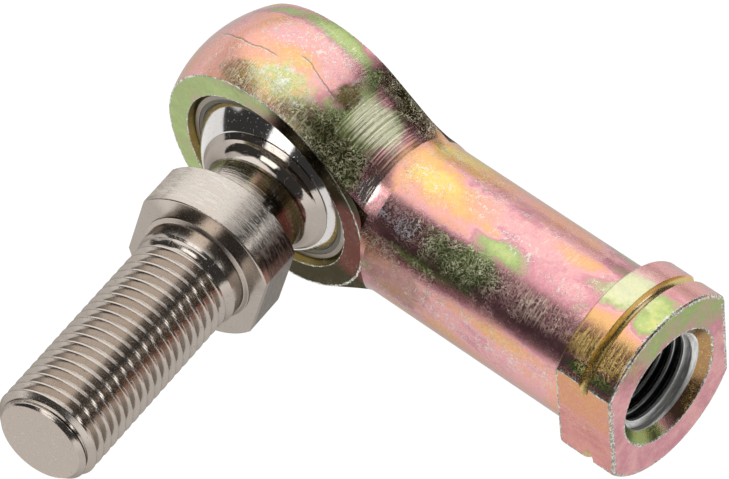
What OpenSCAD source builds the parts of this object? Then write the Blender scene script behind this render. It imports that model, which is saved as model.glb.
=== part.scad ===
// Studded female rod end bearing: an eye with a hollow wrench-collared shank, a press-fitted race,
// a thin slippery liner, a ball, and a threaded stud through the ball.
// Origin: the centre of the ball. +X runs along the shank, Y is the axis of the eye, +Z is up.
// The stud leaves towards -Y, tilted a little towards the shank. All sizes are in mm.

/* [Housing] */
// distance from the ball centre to the threaded end face
base_len = 41.275; // [35:0.005:50]
// diameter of the spherical head
head_d = 24.90; // [20:0.05:32]
// width of the head across its two flat faces
head_w = 10.38; // [8:0.02:14]
// radius of the cutter that made the flats, seen where they run out in the neck
flat_cut_r = 13.03; // [12:0.01:16]
// fillet in the corner of that cut
flat_cut_fillet = 0.9; // [0.2:0.1:2]
// diameter of the shank
shank_d = 14.26; // [10:0.02:18]
// slope at which the neck leaves the head, in degrees
neck_slope = 33; // [20:1:40]
// radius of the neck's long, very slightly hollow part
neck_hollow = 60; // [30:1:200]
// radius of the hollow fillet between that part and the shank
neck_fillet = 5.0; // [1:0.1:10]
// diameter of the wrench collar
collar_d = 17.54; // [15:0.02:22]
// length of the wrench collar
collar_len = 5.97; // [3:0.01:9]
// distance across the two wrench flats
wrench_af = 14.44; // [12:0.02:18]
// radius of the collar's two rounded edges
collar_round = 0.28; // [0.05:0.01:1]
// distance of the pointed groove's middle from the end face
groove_from_end = 2.87; // [1:0.01:5]
// width of the pointed groove at the surface
groove_w = 1.0; // [0.4:0.05:2]
// depth of the pointed groove
groove_depth = 0.65; // [0.2:0.05:1.5]

/* [Threaded bore] */
// diameter of the bore, at the crests of its thread
bore_d = 8.50; // [7:0.01:12]
// depth of the bore's straight part, from the end face
bore_depth = 24.0; // [15:0.5:28]
// diameter of the countersink's mouth
csk_d = 11.24; // [9:0.02:14]
// full angle of the drill point
drill_point = 118; // [90:1:140]

/* [Eye] */
// diameter of the seat that the race is pressed into
seat_d = 20.8; // [18:0.05:23]
// half length of the seat's straight part
seat_half = 3.75; // [2:0.05:5]
// diameter at the rolled lip's inner tip
lip_d = 17.8; // [16:0.05:20]
// distance of the lip's inner tip from the middle
lip_y = 4.40; // [3:0.05:5]
// diameter of the opening in each flat face
mouth_d = 18.32; // [17:0.02:22]

/* [Race and liner] */
// half width of the race
race_half = 4.60; // [3:0.05:6]
// diameter of the race's flat ring, outside
race_flat_d = 17.5; // [16:0.05:19]
// thickness of the liner
liner_t = 0.35; // [0.2:0.01:0.8]
// running clearance on each side of the liner
run_gap = 0.03; // [0.01:0.01:0.1]

/* [Ball] */
// diameter of the ball
ball_d = 18.20; // [15:0.02:22]
// width of the ball across its faces
ball_w = 12.80; // [10:0.02:16]
// radial clearance between the stud and the ball
stud_gap = 0.04; // [0.01:0.01:0.1]
// depth of the countersink in the ball's back face
ball_csk = 1.0; // [0.4:0.05:2]
// slope of that countersink, radius gained per length
ball_csk_slope = 0.9; // [0.5:0.05:1.5]

/* [Stud] */
// turn of the stud about Z, in degrees
stud_swing = 9.81; // [-15:0.01:15]
// turn of the stud about X, in degrees
stud_lift = -5.29; // [-15:0.01:15]
// major diameter of the thread, 3/8 inch
thread_d = 9.525; // [8:0.005:12]
// distance of the stud's tip from the ball centre
stud_len = 40.09; // [30:0.01:50]
// diameter of the flat at the tip
tip_d = 7.72; // [6:0.02:9]
// length of the chamfer at the tip
tip_chamfer = 0.85; // [0.3:0.05:2]
// diameter of the flange against the ball
flange_d = 12.64; // [10:0.02:15]
// length of the flange's sloping rim
flange_rim = 0.42; // [0.2:0.02:1]
// diameter of the neck between flange and wrench collar
neck_d = 9.70; // [8:0.02:12]
// distance of the neck's start from the ball centre
neck_start = 8.25; // [7:0.01:10]
// distance of the wrench collar's back from the ball centre
wr_back = 12.38; // [10:0.01:15]
// distance of the wrench collar's front from the ball centre
wr_front = 16.86; // [14:0.01:20]
// diameter of the wrench collar
wr_d = 14.64; // [12:0.02:18]
// distance across the wrench collar's flats
wr_af = 12.74; // [10:0.02:16]
// turn of those flats about the stud, in degrees
wr_turn = -15.85; // [-90:0.05:90]
// radius of the wrench collar's rounded edges
wr_round = 0.15; // [0.05:0.01:1]
// diameter of the raised ring on the collar's front
ring_d = 10.70; // [9:0.02:13]
// height of the raised ring
ring_h = 0.30; // [0.1:0.02:1]
// diameter of the plain relief before the thread
relief_d = 9.90; // [9:0.02:12]
// end of the relief, from the ball centre
relief_end = 18.50; // [17:0.05:20]

/* [Hidden] */
$fn = 96;
head_r = head_d / 2;
face_y = head_w / 2;
shank_r = shank_d / 2;
collar_r = collar_d / 2;
collar_x = base_len - collar_len;
groove_x = base_len - groove_from_end;
bore_r = bore_d / 2;
csk_r = csk_d / 2;
point_len = bore_r / tan(drill_point / 2);
neck_a = [head_r * cos(neck_slope), head_r * sin(neck_slope)];
hollow_c = (head_r + neck_hollow) * [cos(neck_slope), sin(neck_slope)];
fillet_r0 = shank_r + neck_fillet;
fillet_x = hollow_c[1] - sqrt(pow(neck_hollow - neck_fillet, 2) - pow(hollow_c[0] - fillet_r0, 2));
fillet_c = [fillet_r0, fillet_x];
neck_b = hollow_c + (fillet_c - hollow_c) * neck_hollow / (neck_hollow - neck_fillet);
hollow_end = atan2(fillet_c[1] - hollow_c[1], fillet_c[0] - hollow_c[0]);
neck_c = hollow_c + neck_hollow * [cos(hollow_end - 0.85), sin(hollow_end - 0.85)];
groove_rr = (pow(groove_depth, 2) + pow(groove_w / 2, 2)) / groove_w;
groove_off = groove_rr - groove_w / 2;
seat_r = seat_d / 2;
lip_r = lip_d / 2;
mouth_r = mouth_d / 2;
ball_r = ball_d / 2;
ball_half = ball_w / 2;
liner_in = ball_r + run_gap;
liner_out = liner_in + liner_t;
race_in = liner_out + run_gap;
race_flat_r = race_flat_d / 2;
thread_r = thread_d / 2;
ball_bore_r = thread_r + stud_gap;
flange_r = flange_d / 2;
flange_s = ball_half + run_gap;
neck_r = neck_d / 2;
rim_r = flange_r - flange_rim;
rim_s = flange_s + flange_rim;
flare_r = (pow(neck_start - rim_s, 2) + pow(rim_r - neck_r, 2)) / (2 * (rim_r - neck_r));
wr_r = wr_d / 2;
wr_len = wr_front - wr_back;
relief_r = relief_d / 2;

// stands an axis that was drawn along Z on the shank's axis
module along_x() {
    rotate([0, 90, 0]) children();
}

// stands an axis that was drawn along Z on the eye's axis, pointing to -Y
module along_eye() {
    rotate([90, 0, 0]) children();
}

// stands an axis that was drawn along Z on the tilted stud
module along_stud() {
    rotate([0, 0, stud_swing]) rotate([stud_lift, 0, 0]) rotate([90, 0, 0]) children();
}

// neck and shank, in the plane of radius and length
module neck_profile() {
    polygon([
        [0, 0],
        [neck_a[0] - 1.0, neck_a[1]],
        [neck_b[0] - 0.6, neck_b[1]],
        [shank_r - 0.3, fillet_x - 0.9],
        [shank_r, fillet_x - 0.9],
        [shank_r, collar_x + 0.5],
        [0, collar_x + 0.5]
    ]);
    difference() {
        polygon([neck_a, neck_c, neck_c - [1.2, 0], neck_a - [1.6, 0]]);
        translate(hollow_c) circle(r = neck_hollow);
    }
    difference() {
        polygon([neck_b, [shank_r, fillet_x], [shank_r - 0.5, fillet_x], neck_b - [1.0, 0]]);
        translate(fillet_c) circle(r = neck_fillet + 0.03);
    }
}

// a round bar's section from radius 0 to r, between two lengths, with rounded corners
module round_collar(r, x0, x1, c0, c1) {
    polygon([
        [0, x0],
        [r - c0, x0],
        [r - c0, x0 + c0],
        [r, x0 + c0],
        [r, x1 - c1],
        [r - c1, x1 - c1],
        [r - c1, x1],
        [0, x1]
    ]);
    translate([r - c0, x0 + c0]) circle(r = c0);
    translate([r - c1, x1 - c1]) circle(r = c1);
}

// the wrench collar's section, with its two rounded edges and its pointed groove
module collar_profile() {
    difference() {
        round_collar(collar_r, collar_x, base_len, collar_round, collar_round);
        intersection() {
            translate([collar_r, groove_x - groove_off]) circle(r = groove_rr);
            translate([collar_r, groove_x + groove_off]) circle(r = groove_rr);
        }
    }
}

// what is removed on one side of the head to make its flat face
module flat_cutter() {
    rotate_extrude() {
        polygon([
            [0, face_y],
            [flat_cut_r - flat_cut_fillet, face_y],
            [flat_cut_r - flat_cut_fillet, face_y + flat_cut_fillet],
            [flat_cut_r, face_y + flat_cut_fillet],
            [flat_cut_r, face_y + 12],
            [0, face_y + 12]
        ]);
        translate([flat_cut_r - flat_cut_fillet, face_y + flat_cut_fillet]) circle(r = flat_cut_fillet);
    }
}

// the eye's inside, with a lip at each end that holds the race
module eye_cut() {
    rotate_extrude()
        polygon([
            [0, -face_y - 1],
            [mouth_r, -face_y - 1],
            [mouth_r, -face_y],
            [lip_r, -lip_y],
            [seat_r, -seat_half],
            [seat_r, seat_half],
            [lip_r, lip_y],
            [mouth_r, face_y],
            [mouth_r, face_y + 1],
            [0, face_y + 1]
        ]);
}

// the threaded bore with its countersink and drill point
module bore_cut() {
    rotate_extrude()
        polygon([
            [0, base_len - bore_depth - point_len],
            [bore_r, base_len - bore_depth],
            [bore_r, base_len - (csk_r - bore_r)],
            [csk_r, base_len],
            [csk_r, base_len + 1],
            [0, base_len + 1]
        ]);
}

// housing: spherical head with two flats, neck, shank and wrench collar
module body() {
    color([0.86, 0.70, 0.52])
    difference() {
        union() {
            sphere(r = head_r);
            along_x() rotate_extrude() neck_profile();
            along_x() rotate_extrude() collar_profile();
        }
        along_eye() flat_cutter();
        rotate([180, 0, 0]) along_eye() flat_cutter();
        along_eye() eye_cut();
        along_x() bore_cut();
        translate([collar_x - 0.2, wrench_af / 2, -12]) cube([collar_len + 1, 6, 24]);
        translate([collar_x - 0.2, -wrench_af / 2 - 6, -12]) cube([collar_len + 1, 6, 24]);
    }
}

// race: the outer ring that is pressed into the eye, hollow and round inside
module race() {
    color([0.50, 0.48, 0.45])
    along_eye() difference() {
        rotate_extrude()
            polygon([
                [0, -race_half],
                [race_flat_r, -race_half],
                [lip_r, -lip_y],
                [seat_r, -seat_half],
                [seat_r, seat_half],
                [lip_r, lip_y],
                [race_flat_r, race_half],
                [0, race_half]
            ]);
        sphere(r = race_in);
    }
}

// liner: a thin sleeve between race and ball
module liner() {
    color([0.22, 0.21, 0.14])
    along_eye() difference() {
        intersection() {
            sphere(r = liner_out);
            translate([0, 0, -race_half + 0.04]) cylinder(h = 2 * race_half - 0.08, r = head_r);
        }
        sphere(r = liner_in);
    }
}

// ball: cut flat at both ends and bored through for the stud
module ball() {
    color([0.78, 0.77, 0.76])
    along_stud() difference() {
        sphere(r = ball_r);
        translate([0, 0, ball_half]) cylinder(h = 6, r = head_r);
        translate([0, 0, -ball_half - 6]) cylinder(h = 6, r = head_r);
        translate([0, 0, -head_r]) cylinder(h = 2 * head_r, r = ball_bore_r);
        rotate_extrude()
            polygon([
                [0, -ball_half + ball_csk],
                [ball_bore_r, -ball_half + ball_csk],
                [ball_bore_r + ball_csk * ball_csk_slope, -ball_half],
                [ball_bore_r + ball_csk * ball_csk_slope, -ball_half - 1],
                [0, -ball_half - 1]
            ]);
    }
}

// the stud's turned section, from its riveted back end to its tip
module stud_profile() {
    polygon([
        [0, -ball_half - 0.10],
        [3.6, -ball_half - 0.10],
        [4.1, -ball_half - 0.32],
        [5.2, -ball_half - 0.32],
        [thread_r + (ball_csk - 0.005) * ball_csk_slope, -ball_half],
        [thread_r, -ball_half + ball_csk - 0.005],
        [thread_r, flange_s],
        [flange_r, flange_s],
        [rim_r, rim_s],
        [neck_r, rim_s],
        [neck_r, wr_back + 0.5],
        [ring_d / 2, wr_front - 0.5],
        [ring_d / 2, wr_front],
        [ring_d / 2, wr_front + ring_h * 0.4],
        [relief_r, wr_front + ring_h],
        [relief_r, relief_end],
        [thread_r, relief_end + 0.3],
        [thread_r, stud_len - tip_chamfer],
        [tip_d / 2, stud_len],
        [0, stud_len]
    ]);
    difference() {
        polygon([
            [neck_r - 0.4, rim_s - 0.1],
            [rim_r, rim_s - 0.1],
            [rim_r, rim_s],
            [neck_r, neck_start],
            [neck_r - 0.4, neck_start]
        ]);
        translate([neck_r + flare_r, neck_start]) circle(r = flare_r);
    }
    round_collar(wr_r, wr_back, wr_front, wr_round, wr_round);
}

// stud: riveted end, flange, neck, wrench collar, relief and threaded end
module stud() {
    color([0.74, 0.70, 0.66])
    along_stud() difference() {
        rotate_extrude() stud_profile();
        rotate([0, 0, wr_turn]) translate([wr_af / 2, -10, wr_back - 0.2]) cube([5, 20, wr_len + 0.4]);
        rotate([0, 0, wr_turn]) translate([-wr_af / 2 - 5, -10, wr_back - 0.2]) cube([5, 20, wr_len + 0.4]);
    }
}

body();
race();
liner();
ball();
stud();
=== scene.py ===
import math

import bpy
import numpy as np
from mathutils import Matrix, Vector


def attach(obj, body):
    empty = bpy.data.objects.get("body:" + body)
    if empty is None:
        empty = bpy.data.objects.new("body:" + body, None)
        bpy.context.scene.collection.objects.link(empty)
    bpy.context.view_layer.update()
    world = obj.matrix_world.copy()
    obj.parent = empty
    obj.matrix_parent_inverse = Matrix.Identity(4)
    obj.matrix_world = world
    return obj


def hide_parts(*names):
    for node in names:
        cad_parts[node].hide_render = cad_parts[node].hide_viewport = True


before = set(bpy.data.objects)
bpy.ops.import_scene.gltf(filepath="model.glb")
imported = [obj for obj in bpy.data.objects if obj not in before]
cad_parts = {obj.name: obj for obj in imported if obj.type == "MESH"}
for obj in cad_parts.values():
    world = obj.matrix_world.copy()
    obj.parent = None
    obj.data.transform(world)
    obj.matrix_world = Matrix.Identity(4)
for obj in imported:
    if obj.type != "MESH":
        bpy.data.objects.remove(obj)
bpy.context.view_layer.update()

# Lengths are in millimetres and angles in degrees, as in the CAD model.
MM = 0.001
PITCH = 25.4 / 24           # of both threads

# the housing, along X from the ball's centre
NECK_START, SHANK_START = 6.6, 12.4         # where the neck leaves the head and ends
SHANK_END = 41.275          # the end face
COLLAR_X, COLLAR_R = 35.305, 8.77           # back and radius of the wrench collar
GROOVE_LOW, GROOVE_HIGH = 37.95, 38.87      # edges of the collar's pointed groove
FLAT_Y = 7.22               # the wrench flats, on both sides
FACE_Y, FACE_R = 5.19, 11.27                # the head's flat faces and their outer edge
EYE_R = 9.16                # inner edge of those faces
CSK_R = 5.62                # the countersink at the end face
BORE_START, BORE_END = 17.275, 40.405       # the inner thread
BORE_R, BORE_DEPTH = 4.25, 0.53             # at its crests, and its depth

# the stud, along its own axis from the ball's centre
STUD_SWING, STUD_LIFT = 9.81, -5.29         # how the stud leans in the photograph
STUD_COLLAR = (12.2, 16.4)  # the wrench collar without its front edge
STUD_SEAT = 17.0            # the collar's front
THREAD_START, THREAD_END = 18.5, 40.09
THREAD_R, THREAD_DEPTH, RELIEF_R = 4.76, 0.60, 4.95
TIP_R, TIP_SLOPE = 3.86, 0.97               # the chamfer at the tip

X_AXES = ((0, 1, 0), (0, 0, 1), (1, 0, 0))
stud_turn = (Matrix.Rotation(math.radians(STUD_SWING), 3, "Z")
             @ Matrix.Rotation(math.radians(STUD_LIFT), 3, "X")
             @ Matrix.Rotation(math.pi / 2, 3, "X"))
STUD_AXES = tuple(tuple(stud_turn.col[k]) for k in range(3))
STUD_DIR = np.array(STUD_AXES[2])


# ---------------------------------------------------------------- camera, floor, light
def toward(azimuth, elevation):
    """Unit vector to a point seen at that azimuth (0 is -Y, 90 is +X) and elevation."""
    a, e = math.radians(azimuth), math.radians(elevation)
    return Vector((math.sin(a) * math.cos(e), -math.cos(a) * math.cos(e), math.sin(e)))


def make_camera():
    """A long lens at the photograph's viewing angle, fitted to the part's circles and edges."""
    azimuth, elevation, roll = 47.561, 51.025, math.radians(-6.494)
    aim, distance = Vector((2.041, 3.673, -14.939)), 541.694
    back = toward(azimuth, elevation)
    right = (-back).cross(Vector((0, 0, 1))).normalized()
    up = right.cross(-back)
    x = right * math.cos(roll) + up * math.sin(roll)
    y = up * math.cos(roll) - right * math.sin(roll)
    data = bpy.data.cameras.new("camera")
    data.sensor_width, data.lens = 36.0, 303.48
    data.clip_start, data.clip_end = 0.05, 10.0         # in metres
    cam = bpy.data.objects.new("camera", data)
    bpy.context.collection.objects.link(cam)
    cam.matrix_world = Matrix((x, y, back)).transposed().to_4x4()
    cam.location = aim * MM + back * distance * MM
    bpy.context.scene.camera = cam


def make_softbox(name, facing, across, near, far, low, high, strength, distance=0.6):
    """A rectangle of even light in the plane square to facing, distance metres away. Its edges
    are slopes seen from the object: from near to far along across, and from low to high."""
    c = Vector(facing).normalized()
    v = c.cross(Vector(across)).normalized()
    u = v.cross(c)
    width, height = (far - near) * distance, (high - low) * distance
    data = bpy.data.lights.new(name, "AREA")
    data.shape, data.size, data.size_y = "RECTANGLE", width, height
    data.energy = strength * width * height * math.pi
    box = bpy.data.objects.new(name, data)
    bpy.context.collection.objects.link(box)
    box.matrix_world = Matrix((u, v, c)).transposed().to_4x4()
    box.location = (c + u * (near + far) / 2 + v * (low + high) / 2) * distance


def make_floor():
    """An even white light just below the part, as under a cut-out product photograph."""
    mesh = bpy.data.meshes.new("floor")
    half, z = 3.0, -12.6 * MM       # half its side and its height, in metres
    corners = [(-half, -half, z), (half, -half, z), (half, half, z), (-half, half, z)]
    mesh.from_pydata(corners, [], [(0, 1, 2, 3)])
    floor = bpy.data.objects.new("floor", mesh)
    bpy.context.collection.objects.link(floor)
    mat = bpy.data.materials.new("floor_white")
    mat.use_nodes = True
    bsdf = mat.node_tree.nodes["Principled BSDF"]
    bsdf.inputs["Base Color"].default_value = (0.06, 0.06, 0.06, 1)
    bsdf.inputs["Roughness"].default_value = 0.9
    bsdf.inputs["Emission Color"].default_value = (1, 1, 1, 1)
    bsdf.inputs["Emission Strength"].default_value = 1.0
    mesh.materials.append(mat)


make_camera()
make_floor()
# the lights that the photograph's bar shows mirrored side by side, as slopes in one plane
BACK, LEFTWARD = (-0.514, 0.665, 0.541), (-0.849, -0.484, -0.211)
make_softbox("softbox_back", BACK, LEFTWARD, -0.74, 0.728, -0.30, 1.85, 1.25)
make_softbox("softbox_right", BACK, LEFTWARD, -1.60, -0.74, 0.30, 1.85, 0.95)
make_softbox("sweep_back", BACK, LEFTWARD, -0.60, 2.0, -0.62, -0.30, 0.68)
make_softbox("sweep_left", BACK, LEFTWARD, 0.728, 2.0, -0.30, 0.90, 0.72)
make_softbox("softbox_front", toward(6, 54), (1, 0.1, 0), -0.26, 0.26, -0.29, 0.29, 2.0)
make_softbox("strip_side", toward(128, 26), (0.6, 0.8, 0), -0.16, 0.16, -0.10, 0.10, 2.4)
world = bpy.data.worlds.new("studio")
bpy.context.scene.world = world
world.use_nodes = True
world.node_tree.nodes["Background"].inputs[0].default_value = (0.045, 0.045, 0.045, 1)
bpy.context.scene.view_settings.view_transform = "Standard"


# ---------------------------------------------------------------- material graphs
def srgb(r, g, b):
    """A colour given as 0-255 screen values, as linear light."""
    return tuple(((c / 255 + 0.055) / 1.055) ** 2.4 for c in (r, g, b)) + (1.0,)


class Val:
    """One socket of a material's graph. Arithmetic on it adds math nodes."""

    def __init__(self, graph, socket):
        self.graph, self.socket = graph, socket

    def __add__(self, other):
        return self.graph.math("ADD", self, other)

    def __sub__(self, other):
        return self.graph.math("SUBTRACT", self, other)

    def __rsub__(self, other):
        return self.graph.math("SUBTRACT", other, self)

    def __mul__(self, other):
        return self.graph.math("MULTIPLY", self, other)

    def __truediv__(self, other):
        return self.graph.math("DIVIDE", self, other)

    def __abs__(self):
        return self.graph.math("ABSOLUTE", self)

    __radd__, __rmul__ = __add__, __mul__


class Graph:
    """A procedural material. Its coordinates are the object's own, in millimetres."""

    def __init__(self, name):
        self.material = bpy.data.materials.new(name)
        self.material.use_nodes = True
        self.tree = self.material.node_tree
        self.shader = self.tree.nodes["Principled BSDF"]
        coords = self.tree.nodes.new("ShaderNodeTexCoord")
        self.point = self.vector("MULTIPLY", Val(self, coords.outputs["Object"]), (1 / MM,) * 3)
        self.x, self.y, self.z = self.split(self.point)

    def put(self, socket, value):
        """Links another socket to this one, or sets its own value."""
        if isinstance(value, Val):
            self.tree.links.new(value.socket, socket)
        elif value is not None:
            socket.default_value = value

    def node(self, kind, inputs, output=0, **settings):
        n = self.tree.nodes.new(kind)
        for key, value in settings.items():
            setattr(n, key, value)
        for key, value in inputs.items():
            self.put(n.inputs[key], value)
        return Val(self, n.outputs[output])

    def math(self, op, a, b=None, c=None, clamp=False):
        return self.node("ShaderNodeMath", {0: a, 1: b, 2: c}, operation=op, use_clamp=clamp)

    def vector(self, op, a, b=None, c=None):
        out = "Value" if op in ("LENGTH", "DOT_PRODUCT") else "Vector"
        return self.node("ShaderNodeVectorMath", {0: a, 1: b, 2: c}, out, operation=op)

    def split(self, v):
        n = self.tree.nodes.new("ShaderNodeSeparateXYZ")
        self.put(n.inputs[0], v)
        return [Val(self, n.outputs[k]) for k in range(3)]

    def join(self, x, y, z):
        return self.node("ShaderNodeCombineXYZ", {0: x, 1: y, 2: z})

    def hypot(self, a, b):
        return self.math("SQRT", a * a + b * b)

    def most(self, *values):
        out = values[0]
        for v in values[1:]:
            out = self.math("MAXIMUM", out, v)
        return out

    def step(self, v, low, high):
        """0 below low, 1 above high (or the reverse if low is the larger), smooth between."""
        return self.node("ShaderNodeMapRange", {"Value": v, "From Min": low, "From Max": high},
                         interpolation_type="SMOOTHSTEP", clamp=True)

    def noise(self, scale, detail=2.0, rough=0.5, twist=0.0, at=None):
        """Noise about 0.5; scale is per millimetre, one number or one for each axis."""
        v = at or self.point
        if isinstance(scale, tuple):
            v, scale = self.vector("MULTIPLY", v, scale), 1.0
        return self.node("ShaderNodeTexNoise", {"Vector": v, "Scale": scale, "Detail": detail,
                         "Roughness": rough, "Distortion": twist}, "Fac")

    def mix(self, amount, a, b):
        return self.node("ShaderNodeMix", {0: amount, 6: a, 7: b}, 2,
                         data_type="RGBA", clamp_factor=True)

    def scaled(self, color, amount):
        return self.node("ShaderNodeVectorMath", {0: color, 3: amount}, operation="SCALE")

    def ramp(self, v, stops):
        n = self.tree.nodes.new("ShaderNodeValToRGB")
        self.put(n.inputs[0], v)
        for k, (place, color) in enumerate(stops):
            e = n.color_ramp.elements[k] if k < 2 else n.color_ramp.elements.new(place)
            e.position, e.color = place, color
        return Val(self, n.outputs[0])

    def bump(self, height):
        """height is in millimetres."""
        return self.node("ShaderNodeBump", {"Strength": 1.0, "Distance": MM, "Height": height})

    def lines(self, scale, width, detail, twist):
        """Thin curved lines where noise passes its middle value."""
        middle = abs(self.noise(scale, detail, 0.5, twist) - 0.5)
        return self.step(middle, width, width * 0.35)

    def finish(self, color, rough, normal, metal=1.0, grazing=(1.0, 1.0, 1.0)):
        """grazing tints what a metal mirrors at a grazing angle."""
        for socket, value in (("Base Color", color), ("Roughness", rough), ("Normal", normal),
                              ("Metallic", metal), ("Specular Tint", grazing + (1.0,))):
            self.put(self.shader.inputs[socket], value)
        return self.material


# The film's colours, from thin to thick.
FILM = [(0.00, srgb(230, 216, 150)), (0.14, srgb(240, 204, 118)), (0.28, srgb(236, 180, 126)),
        (0.42, srgb(236, 172, 152)), (0.52, srgb(235, 174, 175)), (0.62, srgb(212, 144, 156)),
        (0.72, srgb(192, 166, 144)), (0.82, srgb(164, 182, 118)), (0.92, srgb(184, 200, 130)),
        (1.00, srgb(214, 212, 138))]

# The next five tables are places on the housing. Each place starts with x, the angle round the
# shank (90 is up), and half its size along and round the shank.
# Patches of other film thickness, then the thickness and how much of it.
PATCHES = [
    (-9.0, 92, 4.0, 26, 0.50, 0.8), (-7.0, 70, 3.5, 12, 0.46, 0.7), (-4.5, 110, 2.6, 5, 0.84, 0.8),
    (1.5, 110, 5.0, 6, 0.88, 1.0), (5.6, 99, 2.4, 8, 0.84, 0.9), (-3.8, 89, 2.4, 7, 0.40, 0.8),
    (-1.0, 97, 2.4, 6, 0.54, 0.9), (3.0, 97, 3.6, 7, 0.50, 0.9),
    (0.4, 88, 2.2, 5, 0.20, 0.7), (4.6, 85, 2.0, 3, 0.54, 0.9),
    (9.0, 92, 3.2, 16, 0.92, 0.9), (7.0, 62, 4.5, 20, 0.96, 0.8), (8.5, 118, 3.5, 12, 0.96, 0.7),
    (11.8, 95, 1.0, 60, 0.55, 0.9), (15.5, 128, 4.5, 17, 0.12, 0.9), (25.0, 128, 7.0, 15, 0.38, 0.8),
    (16.0, 93, 4.4, 15, 0.12, 1.0), (13.6, 103, 2.2, 7, 0.26, 0.8), (19.5, 84, 2.6, 7, 0.22, 0.8),
    (21.3, 98, 2.6, 14, 0.42, 0.9), (27.5, 98, 5.0, 10, 0.52, 1.0), (25.2, 75, 3.3, 10, 0.90, 1.0),
    (23.0, 82, 1.4, 4, 0.10, 0.6), (31.5, 103, 3.4, 7, 0.32, 1.0), (31.3, 80, 4.5, 10, 0.55, 1.0),
    (15.0, 54, 4.0, 12, 0.62, 0.9), (22.5, 53, 4.6, 14, 0.90, 1.0), (31.0, 53, 5.0, 13, 0.60, 1.0),
    (18.0, 35, 4.0, 4, 0.84, 0.9), (14.5, 24, 3.0, 12, 0.34, 0.8), (20.5, 10, 4.0, 9, 0.52, 0.8),
    (21.0, 28, 3.5, 4, 0.62, 0.8), (28.0, 22, 5.0, 6, 0.28, 0.9), (31.5, 36, 4.0, 4, 0.56, 0.8),
    (30.5, 4, 5.0, 9, 0.52, 0.8), (25.0, -12, 7.0, 12, 0.36, 0.7), (17.0, -8, 3.0, 8, 0.60, 0.7),
    (36.6, 125, 2.0, 22, 0.53, 1.0), (38.2, 97, 5.0, 11, 0.91, 1.0), (36.6, 87, 2.0, 9, 0.96, 0.9),
    (36.6, 71, 2.0, 6, 0.26, 1.0), (40.0, 130, 1.6, 20, 0.50, 1.0), (40.2, 83, 1.6, 9, 0.99, 0.9),
    (40.0, 67, 1.6, 6, 0.27, 1.0), (38.0, 52, 4.0, 11, 0.22, 0.9), (38.5, 42, 4.0, 5, 0.92, 0.9),
]
# Dull film and painted shade, then how much.
DULL_AND_SHADE = [
    (8.6, 122, 3.2, 15, 0.90), (7.4, 63, 3.8, 14, 0.70), (4.0, 70, 2.6, 7, 0.70),
    (5.9, 91, 1.0, 7, 1.0), (-2.4, 70, 2.2, 6, 0.7), (11.4, 76, 0.8, 16, 0.5),
    (15.5, 53, 4.0, 12, 0.25), (22.5, 53, 5.0, 13, 0.2), (30.5, 53, 5.0, 13, 0.12),
    (36.6, 54, 2.0, 11, 0.35), (40.0, 54, 2.0, 11, 0.35), (17.0, 34, 5.0, 6, 0.30),
    (16.0, 10, 4.5, 16, 0.50),
]
# Rubbed by the turning tool or in handling, with strokes round the bar, then how much. On the neck
# and its fillet they also carry a painted highlight.
STROKES_AND_HIGHLIGHTS = [
    (8.9, 92, 2.3, 13, 1.0), (11.6, 60, 0.7, 9, 0.9), (31.0, 54, 3.6, 11, 0.8),
    (36.6, 58, 1.6, 12, 0.9), (40.0, 58, 1.6, 12, 0.9), (3.4, 68, 2.0, 7, 0.6),
    (-1.0, 71, 4.0, 7, 0.6), (1.5, 76, 3.0, 6, 0.4), (2.0, 106, 4.0, 6, 0.5),
    (28.0, 103, 4.0, 8, 0.3),
]
# Crowded with short curved scuffs.
SCUFFED = [
    (7.5, 63, 4.6, 16), (3.0, 71, 3.0, 8), (8.8, 122, 3.4, 15), (-2.6, 70, 2.4, 6),
    (22.5, 53, 12.0, 12), (38.3, 50, 3.0, 9), (16.0, 30, 5.0, 8),
]
# Sown with bright bare flecks.
FLECKED = [
    (0.4, 77, 2.4, 8), (0.5, 97, 5.5, 12), (20.0, 96, 2.2, 12), (26.0, 84, 3.2, 9),
    (15.0, 88, 3.5, 12), (20.0, 110, 9.0, 2), (14.5, 128, 4.0, 12), (31.0, 78, 2.5, 6),
    (26.0, 14, 9.0, 14),
]


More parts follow.
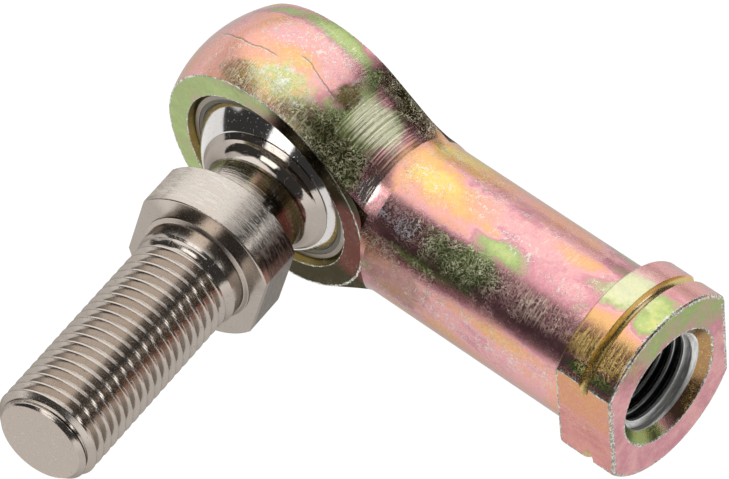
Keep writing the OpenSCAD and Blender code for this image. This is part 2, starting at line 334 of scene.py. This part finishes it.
class Plating(Graph):
    """Yellow passivated zinc on the housing: a metal under a film whose colour follows its
    thickness, with worn edges, scuffs, scratches, turning marks, and painted shade and highlights."""

    def __init__(self):
        super().__init__("yellow_passivated_zinc")
        x, y, z = self.x, self.y, self.z
        self.side = abs(y)
        self.rho = self.hypot(y, z)         # from the shank's axis
        self.radius = self.hypot(x, z)      # from the eye's axis
        self.angle = self.math("ARCTAN2", z, 0 - y) * (180 / math.pi)
        self.unrolled = self.join(x, self.angle, 0.0)
        self.waver = self.noise(0.45, 4.0, 0.6)
        self.ragged = self.noise(1.3, 4.0, 0.65)
        self.streak = self.noise((0.10, 0.55, 0.55), 3.0, 0.6)
        # where the head's flat faces are, the end face, the wrench flats, and the three
        # hollows: the collar's groove, the countersink and the eye's lip
        self.on_face = (self.step(self.side, FACE_Y - 0.04, FACE_Y - 0.01)
                        * self.step(x, SHANK_START + 0.2, SHANK_START))
        self.on_end = self.step(x, SHANK_END - 0.02, SHANK_END - 0.005)
        self.on_flat = self.step(self.side, FLAT_Y - 0.02, FLAT_Y - 0.005)
        self.groove = ((1 - self.on_flat)
                       * self.step(self.rho, COLLAR_R - 0.05, COLLAR_R - 0.15)
                       * self.step(x, GROOVE_LOW - 0.05, GROOVE_LOW - 0.01)
                       * self.step(x, GROOVE_HIGH + 0.05, GROOVE_HIGH + 0.01))
        self.sunk = (self.step(self.rho, CSK_R - 0.01, CSK_R - 0.04)
                     * self.step(x, BORE_END - 0.205, BORE_END - 0.105))
        self.lip = self.step(self.radius, EYE_R + 0.01, EYE_R - 0.04) * self.step(x, 10.5, 10.0)

    def border(self, wavy, rough):
        """How far a patch's border strays, for spot() and zone()."""
        return (self.waver - 0.5) * wavy + (self.ragged - 0.5) * rough

    def spot(self, cx, ca, rx, ra, border, outer, inner):
        """1 inside an oval on the unrolled surface, 0 outside, with a border moved by noise."""
        away = self.vector("MULTIPLY_ADD", self.unrolled,
                           (1 / rx, 1 / ra, 0), (-cx / rx, -ca / ra, 0))
        return self.step(self.vector("LENGTH", away) + border, outer, inner)

    def zone(self, places, border, outer=1.3):
        """The strongest of several spots; a fifth number says how strong each is."""
        return self.most(*[self.spot(*place[:4], border, outer, 0.6)
                           * (place[4] if len(place) > 4 else 1.0) for place in places])

    def thickness(self):
        """The film's thickness, 0 to 1, as a place in FILM."""
        x, y, z, waver, streak = self.x, self.y, self.z, self.waver, self.streak
        border = self.border(1.4, 0.7)
        film = 0.48 + (self.noise(0.10, 2.0, 0.5) - 0.5) * 1.1 + (streak - 0.5) * 0.5
        for cx, ca, rx, ra, value, amount in PATCHES:
            patch = self.spot(cx, ca, rx, ra, border, 1.5, 0.3)
            film = film + (value - film) * (patch * amount)
        # the head's faces are green to the left and pink to the right, the end face green
        # above and pink below, and the wrench flats orange above and pink below
        green = self.step(x + (waver - 0.5) * 6 - z * 0.25, 4.5, -3.5)
        blotch = self.step(self.noise(0.8, 4.0, 0.7), 0.56, 0.66)
        face = 0.60 + green * 0.23 + (streak - 0.5) * 0.25 - blotch * 0.10
        film = film + (face - film) * self.on_face
        upper = self.step(z + y * 0.35 + (waver - 0.5) * 5, 2.2, 7.5)
        end = 0.56 + upper * 0.23 + (streak - 0.5) * 0.25
        film = film + (end - film) * self.on_end
        upper = self.step(z + (waver - 0.5) * 9, -3.0, 5.0)
        flat = 0.58 - upper * 0.26 + (streak - 0.5) * 0.5
        film = film + (flat - film) * self.on_flat
        film = film + (self.noise(0.38, 3.0, 0.55) - 0.5) * 0.24
        # the hollows are gold, and the countersink goes from orange to green
        gilt = self.most(self.groove, self.sunk, self.lip)
        film = film + (0.10 + (streak - 0.5) * 0.35 - film) * gilt
        sunk = 0.34 + self.step(y, 2.0, -2.0) * 0.52 + (streak - 0.5) * 0.3
        film = film + (sunk - film) * self.sunk
        return film + (self.noise(2.5, 3.0, 0.7) - 0.5) * 0.12

    def filmed(self, border):
        """The film's colour with its mottled places, its darker film and its painted shade."""
        x, y, z, waver = self.x, self.y, self.z, self.waver
        color = self.ramp(self.thickness(), FILM)
        # painted shade in the countersink, deeper towards +Y, and on the eye's lip
        shadow = self.sunk * (0.35 + self.step(y, 0.0, 4.0) * 0.30)
        color = self.mix(self.most(shadow, self.lip * 0.85), color, srgb(112, 96, 46))
        color = self.mix(self.groove * 0.45, color, srgb(170, 152, 118))
        # dark dull film and painted shade in the listed places
        dull_and_shade = self.mix(self.ragged, srgb(62, 50, 34), srgb(128, 112, 66))
        color = self.mix(self.zone(DULL_AND_SHADE, border, 1.4), color, dull_and_shade)

        # painted shade, maroon and olive, on the side of the face next to the neck, reaching further
        # along its bottom, and the whole face a little darker
        shade = self.step(x + (waver - 0.5) * 1.5 + self.most(0 - z, 0.0) * 0.30, 0.6, 3.6)
        shade = self.on_face * shade
        shade_color = self.step(abs(z + 0.5) + (waver - 0.5) * 3, 5.4, 3.6)
        shade_color = self.mix(shade_color, srgb(58, 46, 16), srgb(106, 54, 46))
        color = self.scaled(self.mix(shade * 0.98, color, shade_color), 1 - self.on_face * 0.04)

        # a mottled patch on the head, the redder film of the wrench flats, a pale patch on
        # the collar and the duller green of the face
        mottled = self.ramp(self.noise(0.95, 4.0, 0.7),
                            [(0.34, srgb(232, 190, 112)), (0.45, srgb(216, 208, 142)),
                             (0.54, srgb(182, 200, 124)), (0.66, srgb(222, 228, 216))])
        color = self.mix(self.spot(1.3, 77, 2.9, 8, border * 1.2, 1.5, 0.5) * 0.9, color, mottled)
        color = self.mix(self.on_flat * 0.35, color, srgb(226, 140, 112))
        pale = self.spot(36.6, 97, 2.2, 15, border, 1.5, 0.5)
        color = self.mix(pale * 0.45, color, srgb(252, 240, 222))
        return self.mix(self.on_face * 0.16 * (1 - shade), color, srgb(186, 176, 150))

    def worn_edges(self):
        """1 where an edge is worn to the bare metal."""
        grain = self.noise(2.6, 4.0, 0.7)
        face, flat, end = self.side - FACE_Y, self.side - FLAT_Y, self.x - SHANK_END
        collar, back = self.rho - COLLAR_R, self.x - COLLAR_X
        # the two surfaces that meet at each edge, and how wide it is worn
        edges = [(face, self.radius - FACE_R, 0.09), (face, self.radius - EYE_R, 0.06),
                 (end, collar, 0.28), (end, flat, 0.26), (end, self.rho - CSK_R, 0.12),
                 (flat, collar, 0.10), (back, collar, 0.10), (back, flat, 0.16),
                 (self.x - GROOVE_LOW, collar, 0.05), (self.x - GROOVE_HIGH, collar, 0.05)]
        return self.most(*[self.step(self.hypot(a, b) / width + (grain - 0.5) * 6.0, 1.2, 0.6)
                           for a, b, width in edges])

    def scratches(self, move, width):
        """Two long scratches over the head, each a wavering line where a plane cuts it."""
        x, marks = self.x, []
        for a, b, c, low, high in ((0.02, 0.99, 0.10, -8.2, -0.6), (0.22, 0.97, -0.02, 0.6, 5.6)):
            off = x * a + self.y * b + self.z * c + (self.noise(0.35, 2.0) - 0.5) * 1.2 + move
            marks.append(self.step(abs(off), width, width * 0.4)
                         * self.step(x, low, low + 0.6) * self.step(x, high, high - 0.6))
        return self.step(self.z, 0, 1) * self.most(*marks)

    def shaded(self, color):
        """Painted shade where the bar looks down at the white floor, on the head's left, on the end
        face and on the wrench flats, and fine unevenness.
        """
        x = self.x
        below = self.step(self.angle, 48.0, 36.0) * self.step(x, 11.0, 13.0)
        below = below * (0.20 - self.step(x, 18.0, 31.0) * 0.12)
        left = self.step(x, -3.5, -8.0) * (1 - self.on_face) * 0.05
        shade = self.most(below, left, self.on_end * 0.14, self.on_flat * 0.16)
        return self.scaled(color, 1.0 - (self.noise(3.5, 3.0, 0.6) - 0.5) * 0.25 - shade)

    def make(self):
        """The whole material."""
        x, ragged, not_end = self.x, self.ragged, 1 - self.on_end
        border = self.border(1.1, 1.2)
        color = self.filmed(border)
        bare = self.worn_edges()

        # scuffs: crowds of short curved marks and rubbed specks, and strokes round the bar
        crowd = self.most(self.zone(SCUFFED, border),
                          self.step(self.noise(0.25, 3.0, 0.6), 0.50, 0.64) * 0.5)
        cuts = self.noise(2.2, 2.0)
        gaps = self.step(self.noise(0.75, 3.0, 0.6), 0.40, 0.58)
        marks = self.most(self.lines(1.0, 0.034, 2.0, 2.5) * self.step(cuts, 0.47, 0.50),
                          self.lines(1.9, 0.040, 1.0, 2.0) * self.step(cuts, 0.52, 0.49))
        marks = marks * (0.35 + gaps * 0.65)
        specks = self.step(self.noise(5.0, 2.0, 0.6, 0.6), 0.61, 0.63)
        stroke_and_highlight = self.zone(STROKES_AND_HIGHLIGHTS, border * 0.6)
        hatch = stroke_and_highlight * self.step(self.noise((7.0, 0.6, 0.6), 2.0, 0.6), 0.54, 0.58)
        # a painted highlight on the fillet
        fillet_highlight = self.spot(11.6, 60, 0.7, 9, border * 0.4, 1.3, 0.8)
        rubbed = self.most(marks, specks * 0.45 * gaps) * (0.16 + crowd * 0.84) * (1 - fillet_highlight)
        round_only = 1 - self.on_end * 0.7 - self.on_face * 0.7
        rubbed = self.math("MULTIPLY", self.most(rubbed, hatch * 0.9), round_only, clamp=True)
        flecks = self.lines(2.0, 0.065, 1.0, 1.2) * self.step(cuts, 0.52, 0.55)
        flecks = self.most(flecks, specks) * self.zone(FLECKED, border)
        flecks = flecks * not_end * (1 - self.on_face)

        # the scratches: a dark line with a bright burr beside it
        scratch, burr = self.scratches(0.0, 0.10), self.scratches(0.11, 0.09)
        burr = burr * self.step(ragged, 0.40, 0.55)
        color = self.mix(scratch * 0.6, color, srgb(120, 100, 78))
        color = self.mix(burr * 0.8, color, srgb(226, 222, 204))

        # bare silver strokes on the neck, which also paint its highlight, a painted highlight on the
        # fillet, then the scuffs, the flecks and the worn edges
        silver_and_highlight = self.step(x, NECK_START, NECK_START + 0.8) * self.step(x, SHANK_START, 11.8)
        silver_and_highlight = silver_and_highlight * stroke_and_highlight
        color = self.mix(silver_and_highlight * 0.8, color, srgb(238, 236, 206))
        color = self.mix(fillet_highlight * 0.7, color, srgb(255, 232, 234))
        blued = self.spot(15.2, 52, 2.6, 9, border, 1.3, 0.6)
        pale = self.mix(blued, srgb(238, 230, 204), srgb(206, 220, 226))
        pale = self.mix(self.step(x, COLLAR_X - 0.305, COLLAR_X + 0.095), pale, srgb(246, 214, 136))
        pale = self.scaled(pale, 0.1 + self.noise(3.3, 2.0, 0.6) * 2.1)
        color = self.mix(rubbed * 0.85, color, pale)
        white = self.mix(ragged, srgb(190, 200, 196), srgb(255, 252, 240))
        color = self.mix(flecks * 0.6, color, white)
        patina = self.step(self.noise(4.5, 3.0, 0.7), 0.42, 0.58)
        color = self.mix(bare, color, self.mix(patina, srgb(146, 142, 126), srgb(236, 234, 226)))

        # relief: turning marks run round the bar, and the flats carry cutter marks
        turned = self.noise((4.5, 0.02, 0.02), 3.0, 0.7)
        cutter = self.noise((0.6, 0.2, 6.0), 2.0, 0.6)
        where = self.step(self.noise(0.30, 2.0), 0.45, 0.62)
        neck = self.step(x, NECK_START, NECK_START + 0.5) * self.step(x, SHANK_START, 11.0)
        neck = neck * self.step(self.angle, 70.0, 78.0) * self.step(self.angle, 112.0, 104.0)
        grooves = self.noise((3.4, 0.03, 0.03), 2.0, 0.6)
        height = (turned - 0.5) * (0.004 * where + 0.016 * stroke_and_highlight) + (grooves - 0.5) * 0.11 * neck
        height = height * (1 - self.on_flat) * not_end + (cutter - 0.5) * 0.006 * self.on_flat
        height = height + (self.noise(1.3, 3.0, 0.6) - 0.5) * 0.004
        height = height + rubbed * 0.010 + flecks * 0.006 - scratch * 0.012 + burr * 0.012
        height = height + (self.noise(7.0, 2.0, 0.6) - 0.5) * 0.0018
        rough = 0.24 + rubbed * 0.20 + bare * 0.10 + neck * 0.08 - fillet_highlight * 0.08
        rough = rough + (self.noise(0.7, 3.0) - 0.5) * 0.12
        color = self.shaded(color)
        return self.finish(color, rough, self.bump(height), grazing=(0.56, 0.64, 0.62))


# ---------------------------------------------------------------- meshes
def cad_part(node, keep):
    """The CAD mesh's polygons that keep() says stay: points, polygons and exact corner normals."""
    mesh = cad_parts[node].data
    co = np.empty(len(mesh.vertices) * 3, np.float32)
    mesh.vertices.foreach_get("co", co)
    co = co.reshape(-1, 3) / MM
    nor = np.empty(len(mesh.loops) * 3, np.float32)
    mesh.corner_normals.foreach_get("vector", nor)
    nor = nor.reshape(-1, 3)
    faces, normals = [], []
    for p in mesh.polygons:
        ids = list(p.vertices)
        if keep(co[ids]):
            faces.append(ids)
            normals.extend(nor[i] for i in p.loop_indices)
    return co, faces, np.array(normals)


# One pitch of a 60 degree thread: place along the pitch, depth, and whether the strip after it
# is flat (the others round the corners between the flat strips).
THREAD = [(0.00, 0.00, True), (0.12, 0.00, False), (0.16, 0.05, True), (0.44, 0.95, False),
          (0.49, 1.00, True), (0.67, 1.00, False), (0.72, 0.95, True), (0.96, 0.05, False)]


def helix(start, end, hand, radius, axes, around=72, outward=1):
    """A threaded surface about axes' third axis, its ends cut square at start and end.

    radius(s, depth) gives a point's radius from its place along the axis and its depth in the
    thread; hand is 1 for a right-hand thread and -1 for a left-hand one, and outward is -1 for
    an inner thread."""
    m = len(THREAD)
    turns = int(math.ceil((end - start) / PITCH)) + 3
    u = np.array([t[0] for t in THREAD])
    d = np.array([t[1] for t in THREAD])
    # one row of points for each corner of the thread, shifted by one pitch in each turn
    rows = np.concatenate([k + u for k in range(turns)]) * PITCH + start - 2 * PITCH
    deep = np.tile(d, turns)
    i = np.arange(around)
    s_raw = rows[:, None] + (hand * i[None, :] / around + (1 if hand < 0 else 0)) * PITCH
    s = np.clip(s_raw, start, end)
    r = radius(s, deep[:, None] + 0 * s)
    a = 2 * math.pi * i / around
    flat = np.stack([r * np.cos(a), r * np.sin(a), s], -1)
    verts = (flat @ np.array(axes)).reshape(-1, 3)
    # the normals of the strips between the rows, where the thread has its full depth
    full = radius(0 * rows + (start + end) / 2, deep)
    ds = np.diff(np.append(rows, rows[-1] + PITCH * (1 + u[0] - u[-1])))
    dr = np.diff(np.append(full, full[0]))
    n2 = np.stack([-dr, ds], -1) / np.hypot(dr, ds)[:, None] * outward
    cut = 1e-6              # rows closer than this to an end are flattened onto it
    uneven = 0.004          # where the radius is this far from the full thread's, no set normal
    faces, normals = [], []
    for j in range(len(rows) - m - 1):
        is_flat = THREAD[j % m][2]
        na = n2[j] if is_flat else n2[j - 1]
        nb = n2[j] if is_flat else n2[j + 1]
        for k in range(around):
            k2, up = (k + 1) % around, m * (hand if k == around - 1 else 0)
            j2, j3 = j + up, j + 1 + up
            if j2 < 0 or j3 >= len(rows):
                continue
            quad = [(j, k), (j2, k2), (j3, k2), (j + 1, k)]
            raw = [s_raw[q] for q in quad]
            if max(raw) < start + cut or min(raw) > end - cut:
                continue
            ids = [q[0] * around + q[1] for q in quad]
            out = []
            for q, n in zip(quad, (na, na, nb, nb)):
                if abs(r[q] - full[q[0]]) > uneven:
                    out.append(np.zeros(3))
                    continue
                ang = a[q[1]]
                v = np.array([n[1] * math.cos(ang), n[1] * math.sin(ang), n[0]])
                out.append(v @ np.array(axes))
            if outward < 0:
                ids, out = ids[::-1], out[::-1]
            faces.append(ids)
            normals.extend(out)
    return verts, faces, np.array(normals)


def build(name, parts, materials):
    """One object from several (points, polygons, corner normals), each part with its material."""
    verts, faces, normals, index = [], [], [], []
    base = 0
    for m, (co, fs, ns) in enumerate(parts):
        used = sorted({i for f in fs for i in f})
        place = {old: base + new for new, old in enumerate(used)}
        verts.append(np.asarray(co)[used])
        faces += [[place[i] for i in f] for f in fs]
        normals.append(ns)
        index += [m] * len(fs)
        base += len(used)
    mesh = bpy.data.meshes.new(name)
    mesh.from_pydata((np.concatenate(verts) * MM).tolist(), [], faces)
    for m in materials:
        mesh.materials.append(m)
    mesh.polygons.foreach_set("material_index", index)
    mesh.polygons.foreach_set("use_smooth", [True] * len(faces))
    mesh.normals_split_custom_set(np.concatenate(normals).tolist())
    obj = bpy.data.objects.new(name, mesh)
    bpy.context.collection.objects.link(obj)
    return obj


def nickel_plate():
    """Bright nickel on the turned stud: grainy, lightly marked, rubbed on its collar."""
    g = Graph("nickel_plate")
    right, up, along = [g.vector("DOT_PRODUCT", g.point, axis) for axis in STUD_AXES]
    radius = g.hypot(right, up)
    at = g.join(right, up, along)
    low, high = STUD_COLLAR
    neck = g.step(along, low + 0.1, low - 0.1)
    collar = g.step(along, low, low + 0.2) * g.step(along, high, high - 0.3)
    seat = (g.step(along, STUD_SEAT - 0.02, STUD_SEAT + 0.02)
            * g.step(along, STUD_SEAT + 0.2, STUD_SEAT + 0.1))
    threaded = g.step(along, THREAD_START - 0.2, THREAD_START + 0.1)
    ends = g.most(g.step(along, THREAD_END - 0.09, THREAD_END - 0.02), seat)
    turned = g.noise((0.05, 0.05, 6.0), 3.0, 0.7, at=at)
    faced = g.noise((7.0, 7.0, 7.0), 2.0, 0.6, at=g.join(radius, 0.0, 0.0))
    grain = g.noise(4.0, 3.0, 0.6)
    pits = g.step(g.noise(5.5, 2.0, 0.5), 0.69, 0.74)
    rubs = g.step(g.noise((0.9, 0.9, 6.0), 3.0, 0.6, at=at), 0.50, 0.55) * collar
    shiny = g.step(along, 11.9, 11.2)       # the flange and the neck behind the collar
    glints = g.step(g.noise(4.5, 3.0, 0.6), 0.62, 0.68)
    nicks = g.lines(0.9, 0.006, 1.0, 1.0) * g.step(g.noise(0.8, 2.0), 0.54, 0.60)
    color = g.mix(g.noise(0.25, 3.0, 0.6), srgb(194, 182, 170), srgb(203, 194, 186))
    color = g.mix(ends * 0.7, color, srgb(180, 168, 158))
    color = g.mix(pits * 0.5, color, srgb(96, 84, 74))
    color = g.mix(g.most(rubs * 0.6, nicks * 0.5, glints * 0.4), color, srgb(226, 222, 214))
    # painted shade on the sides that look down at the white floor, and on the seat face's lower side
    around = g.math("ARCTAN2", up, right) * (180 / math.pi)
    shade = g.most(g.step(around, 30.0, 8.0) * 0.28, g.step(around, 42.0, 24.0) * collar * 0.62,
                   g.step(around, 112.0, 130.0) * (0.28 - collar * 0.20))
    seat_shade = seat * g.step(around, 25.0, -5.0) * 0.45
    color = g.scaled(color, 1 - g.most(shade * (1 - ends), seat_shade))

    # relief: turning marks round the axis, and rings on the faces square to it
    height = (turned - 0.5) * (0.0016 + 0.008 * neck + 0.004 * collar) + (faced - 0.5) * 0.001
    height = height + (g.noise((0.3, 0.3, 3.2), 2.0, 0.6, at=at) - 0.5) * 0.012 * threaded
    height = height + (grain - 0.5) * 0.0034 + (g.noise(9.0, 2.0) - 0.5) * 0.001
    height = height - pits * 0.002 + rubs * 0.003 - nicks * 0.003
    rough = 0.20 - shiny * 0.10 - threaded * 0.03 + (g.noise(0.8, 3.0) - 0.5) * 0.10
    rough = rough + rubs * 0.22 + glints * 0.15 + pits * 0.2 + ends * 0.08
    return g.finish(color, rough, g.bump(height), grazing=(0.50, 0.48, 0.46))


def ball_chrome():
    """Polished ball with fine dust-like specks and faint polishing marks."""
    g = Graph("polished_ball")
    specks = g.step(g.noise(4.6, 2.0, 0.5), 0.66, 0.70)
    hair = g.lines(0.7, 0.006, 1.0, 0.5)
    color = g.mix(g.noise(0.3, 2.0), srgb(204, 202, 200), srgb(212, 208, 204))
    color = g.mix(specks * 0.4, color, srgb(225, 222, 214))
    rough = 0.11 + specks * 0.40 + hair * 0.08 + (g.noise(1.0, 3.0) - 0.5) * 0.03
    height = (g.noise(1.2, 3.0) - 0.5) * 0.0012 + specks * 0.002
    return g.finish(color, rough, g.bump(height))


def race_steel():
    """Turned bearing steel, browned a little."""
    g = Graph("race_steel")
    radius = g.hypot(g.x, g.z)
    rings = g.noise(6.0, 2.0, 0.6, at=g.join(radius, g.y, 0.0))
    color = g.mix(g.noise(0.5, 3.0), srgb(150, 142, 132), srgb(128, 118, 104))
    height = (rings - 0.5) * 0.003 + (g.noise(4.0, 3.0) - 0.5) * 0.002
    return g.finish(color, 0.36 + (g.noise(1.0, 2.0) - 0.5) * 0.15, g.bump(height))


def liner_weave():
    """Dark slippery liner with a fine woven grain."""
    g = Graph("liner_weave")
    grain = g.noise(5.0, 3.0, 0.6)
    color = g.mix(grain, srgb(92, 86, 70), srgb(128, 120, 104))
    return g.finish(color, 0.55 + (grain - 0.5) * 0.2, g.bump((grain - 0.5) * 0.006), metal=0.0)


def thread_steel():
    """Bare oiled steel of the inner thread: a painted highlight on its crests, and its first turns
    brighter bare metal.
    """
    g = Graph("thread_steel")
    rho = g.hypot(g.y, g.z)
    entry = g.step(g.x, 38.5, 39.7)
    # a painted highlight on the thread's crests
    crest_highlight = g.step(rho, BORE_R + 0.11, BORE_R + 0.04)
    grain = g.noise((7.0, 0.5, 0.5), 3.0, 0.6)
    fine = g.noise(4.0, 3.0, 0.6)
    bright = g.most(entry * 0.75, crest_highlight) + (grain - 0.5) * (0.5 + entry * 1.2) + (fine - 0.5) * 0.3
    color = g.mix(bright, srgb(84, 88, 88), srgb(240, 240, 238))
    rough = 0.30 + (grain - 0.5) * 0.2 + g.most(entry, crest_highlight) * 0.18
    return g.finish(color, rough, g.bump((grain - 0.5) * 0.014 + (fine - 0.5) * 0.004))


def bore_radius(s, depth):
    """Inner thread that runs out at the bore's bottom and opens into the countersink."""
    runout, length = 18.0, 1.5
    fade = np.clip((s - runout) / length, 0, 1)
    return np.maximum(BORE_R + BORE_DEPTH * (1 - depth) * fade, CSK_R - (SHANK_END - s))


def cone(x0, r0, x1, r1, around=96):
    """A smooth inward-facing ring of a countersink about X."""
    a = np.arange(around) * 2 * math.pi / around
    ring = np.stack([0 * a, np.cos(a), np.sin(a)], -1)
    verts = np.concatenate([ring * r0 + (x0, 0, 0), ring * r1 + (x1, 0, 0)])
    n = -ring * (x1 - x0) + np.array((r1 - r0, 0, 0))
    n /= np.linalg.norm(n, axis=1)[:, None]
    faces, normals = [], []
    for i in range(around):
        j = (i + 1) % around
        faces.append([i, i + around, j + around, j])
        normals += [n[i], n[i], n[j], n[j]]
    return verts, faces, np.array(normals)


def stud_radius(s, depth):
    """Outer thread that runs out into the relief and ends in the tip's chamfer."""
    runout, length = 18.7, 1.2
    fade = np.clip((s - runout) / length, 0, 1)
    top = RELIEF_R - np.clip((s - THREAD_START) / 0.3, 0, 1) * (RELIEF_R - THREAD_R)
    return np.minimum(top - THREAD_DEPTH * depth * fade, TIP_R + (THREAD_END - s) * TIP_SLOPE)


def outside_bore(c):
    """True for the housing's polygons other than the bore's wall and its countersink."""
    x, rho = c[:, 0], np.hypot(c[:, 1], c[:, 2])
    below = x.min() < BORE_START - 0.025 and x.max() < BORE_START + 0.025
    return rho.max() > CSK_R + 0.01 or below


def unthreaded(c):
    """True for the stud's polygons before its thread and at its tip."""
    s = c @ STUD_DIR
    return s.max() < THREAD_START + 0.01 or s.min() > THREAD_END - 0.01


plate, steel, nickel = Plating().make(), thread_steel(), nickel_plate()
housing = build("housing_body",
                [cad_part("body", outside_bore),
                 cone(BORE_END, CSK_R - (SHANK_END - BORE_END), SHANK_END, CSK_R),
                 helix(BORE_START, BORE_END, -1, bore_radius, X_AXES, outward=-1)],
                [plate, plate, steel])
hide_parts("body")
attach(housing, "housing")
stud = build("ball_stud",
             [cad_part("stud", unthreaded),
              helix(THREAD_START, THREAD_END, 1, stud_radius, STUD_AXES)],
             [nickel, nickel])
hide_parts("stud")
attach(stud, "stud_unit")
for node, material in (("ball", ball_chrome()), ("race", race_steel()), ("liner", liner_weave())):
    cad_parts[node].data.materials.clear()
    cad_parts[node].data.materials.append(material)
